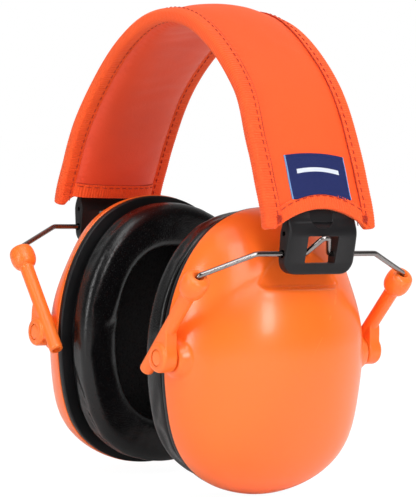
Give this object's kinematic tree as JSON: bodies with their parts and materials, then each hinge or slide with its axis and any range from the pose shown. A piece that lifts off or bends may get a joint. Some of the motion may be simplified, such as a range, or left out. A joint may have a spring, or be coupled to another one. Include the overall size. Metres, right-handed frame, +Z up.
{
  "type": "folding hearing protection earmuffs",
  "caption": "Folding over-head earmuffs: padded sleeved headband, wire yokes with sliding arms, deep oval cups and soft ear cushions.",
  "frame": {"origin": "midway between the two yoke hinge axes, on the plane of symmetry", "axes": "+X towards the wearer's left ear, -Y the way the wearer faces, +Z up over the crown"},
  "size_m": [0.1524, 0.1034, 0.1823],
  "materials": {
    "shell_orange": "moulded, glossy",
    "arm_orange": "moulded, satin gloss",
    "frame_black": "moulded, satin",
    "panel_orange": "coated fabric, matt",
    "binding_orange": "ribbed woven tape",
    "tab_navy": "fine woven",
    "foam_grey": "open-cell foam",
    "cushion_black": "soft coated skin, fine grain",
    "ring_black": "moulded, matt",
    "wire_steel": "bright drawn wire"
  },
  "bodies": {
    "headband": {"headband_frame": "frame_black", "sleeve_outer_panel": "panel_orange", "sleeve_inner_panel": "panel_orange", "crown_foam_pad": "foam_grey", "front_edge_binding": "binding_orange", "rear_edge_binding": "binding_orange", "left_outer_end_binding": "binding_orange", "left_inner_end_binding": "binding_orange", "right_outer_end_binding": "binding_orange", "right_inner_end_binding": "binding_orange", "sewn_tab": "tab_navy"},
    "left_yoke": {"left_wire_yoke": "wire_steel"},
    "left_arms": {"left_front_arm": "arm_orange", "left_rear_arm": "arm_orange"},
    "left_pins": {"left_pivot_pins": "arm_orange"},
    "left_cup": {"left_cup_shell": "shell_orange", "left_cushion_plate": "ring_black", "left_cushion_ring": "ring_black", "left_cushion_cover": "cushion_black", "left_cushion_foam": "foam_grey", "left_liner_foam": "foam_grey"},
    "right_yoke": {"right_wire_yoke": "wire_steel"},
    "right_arms": {"right_front_arm": "arm_orange", "right_rear_arm": "arm_orange"},
    "right_pins": {"right_pivot_pins": "arm_orange"},
    "right_cup": {"right_cup_shell": "shell_orange", "right_cushion_plate": "ring_black", "right_cushion_ring": "ring_black", "right_cushion_cover": "cushion_black", "right_cushion_foam": "foam_grey", "right_liner_foam": "foam_grey"}
  },
  "joints": [
    {"name": "left_fold", "type": "hinge", "parent": "headband", "child": "left_yoke", "pos_m": [0.07006, 0, 0], "axis": [0, 1, 0], "range_deg": [-2, 70]},
    {"name": "left_height", "type": "slide", "parent": "left_yoke", "child": "left_arms", "axis": [0.6428, 0, 0.766], "range_m": [-0.018, 0]},
    {"name": "left_fold_level", "type": "hinge", "parent": "left_arms", "child": "left_pins", "pos_m": [0.04336, 0, -0.0396], "axis": [0, 1, 0], "range_deg": [-70, 2]},
    {"name": "left_cup_tilt", "type": "hinge", "parent": "left_pins", "child": "left_cup", "pos_m": [0.04336, 0, -0.0396], "axis": [0, 1, 0], "range_deg": [-8, 8]},
    {"name": "right_fold", "type": "hinge", "parent": "headband", "child": "right_yoke", "pos_m": [-0.07006, 0, 0], "axis": [0, -1, 0], "range_deg": [-2, 70]},
    {"name": "right_height", "type": "slide", "parent": "right_yoke", "child": "right_arms", "axis": [-0.6428, 0, 0.766], "range_m": [-0.018, 0]},
    {"name": "right_fold_level", "type": "hinge", "parent": "right_arms", "child": "right_pins", "pos_m": [-0.04336, 0, -0.0396], "axis": [0, -1, 0], "range_deg": [-70, 2]},
    {"name": "right_cup_tilt", "type": "hinge", "parent": "right_pins", "child": "right_cup", "pos_m": [-0.04336, 0, -0.0396], "axis": [0, 1, 0], "range_deg": [-8, 8]}
  ],
  "couplings": [
    {"joint": "left_fold_level", "follows": "left_fold", "ratio": -1},
    {"joint": "right_fold_level", "follows": "right_fold", "ratio": -1}
  ]
}
